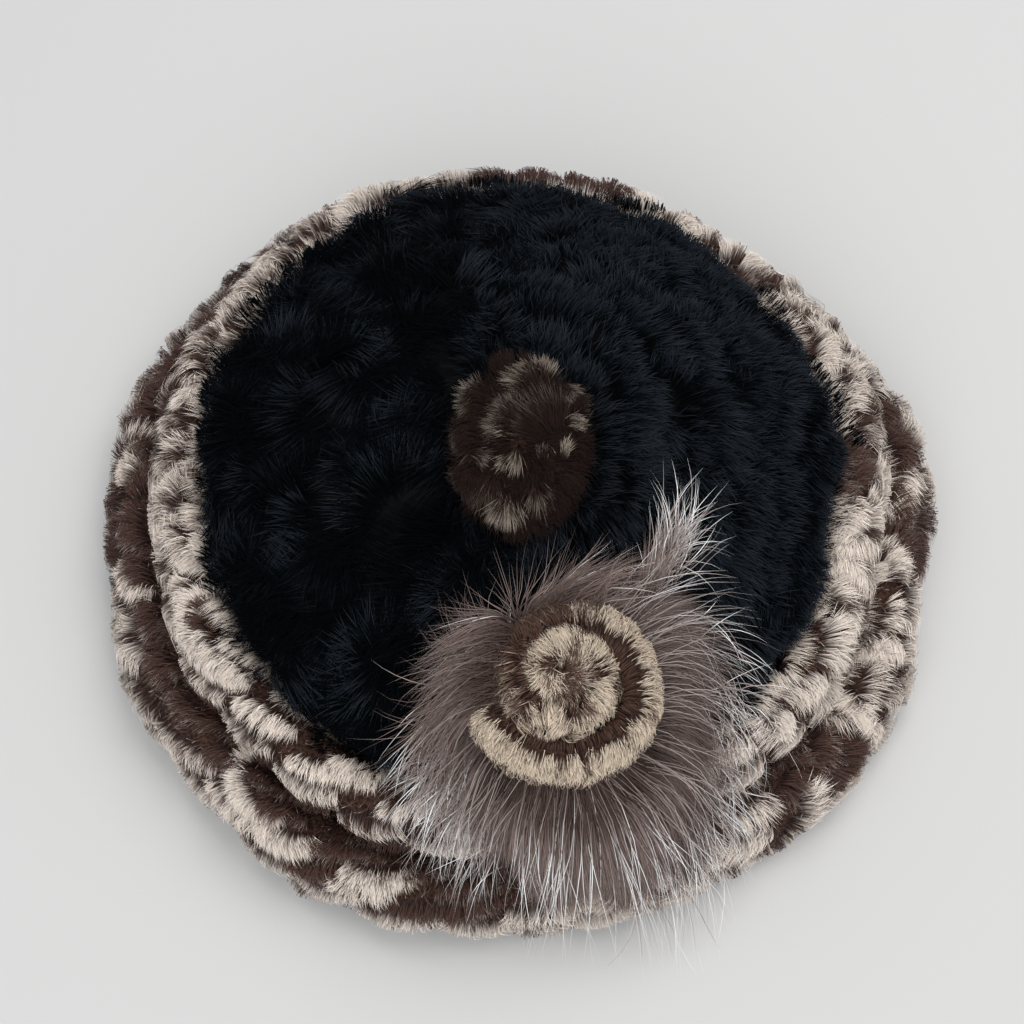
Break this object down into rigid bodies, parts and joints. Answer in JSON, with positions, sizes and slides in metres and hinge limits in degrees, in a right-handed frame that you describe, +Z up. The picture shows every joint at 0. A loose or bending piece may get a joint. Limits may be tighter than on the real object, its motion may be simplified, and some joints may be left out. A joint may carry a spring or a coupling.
{
  "type": "fur tam hat",
  "caption": "Wide, soft fur tam: short black fur crown with a frosted patch, a rim of rolled frosted fur rows, and a fox fur fan with a rolled rosette at the front.",
  "frame": {"origin": "on the surface the hat rests on, under the middle of its outer size", "axes": "+Z up, front with the rosette at -Y, +X to the wearer's left (the right-hand side seen from the front)"},
  "size_m": [0.2862, 0.2772, 0.0956],
  "materials": {
    "black_fur": "short dense black fur",
    "frosted_fur": "dark brown fur with cream tips",
    "fox_fur": "long grey-brown fur with white guard hairs",
    "knit": "plain dark band"
  },
  "bodies": {
    "root": {"crown": "black_fur", "crown_patch": "frosted_fur", "upper_row": "frosted_fur", "lower_row": "frosted_fur", "underbrim": "frosted_fur", "head_band": "knit", "fox_fan": "fox_fur", "rosette": "frosted_fur"}
  },
  "joints": []
}
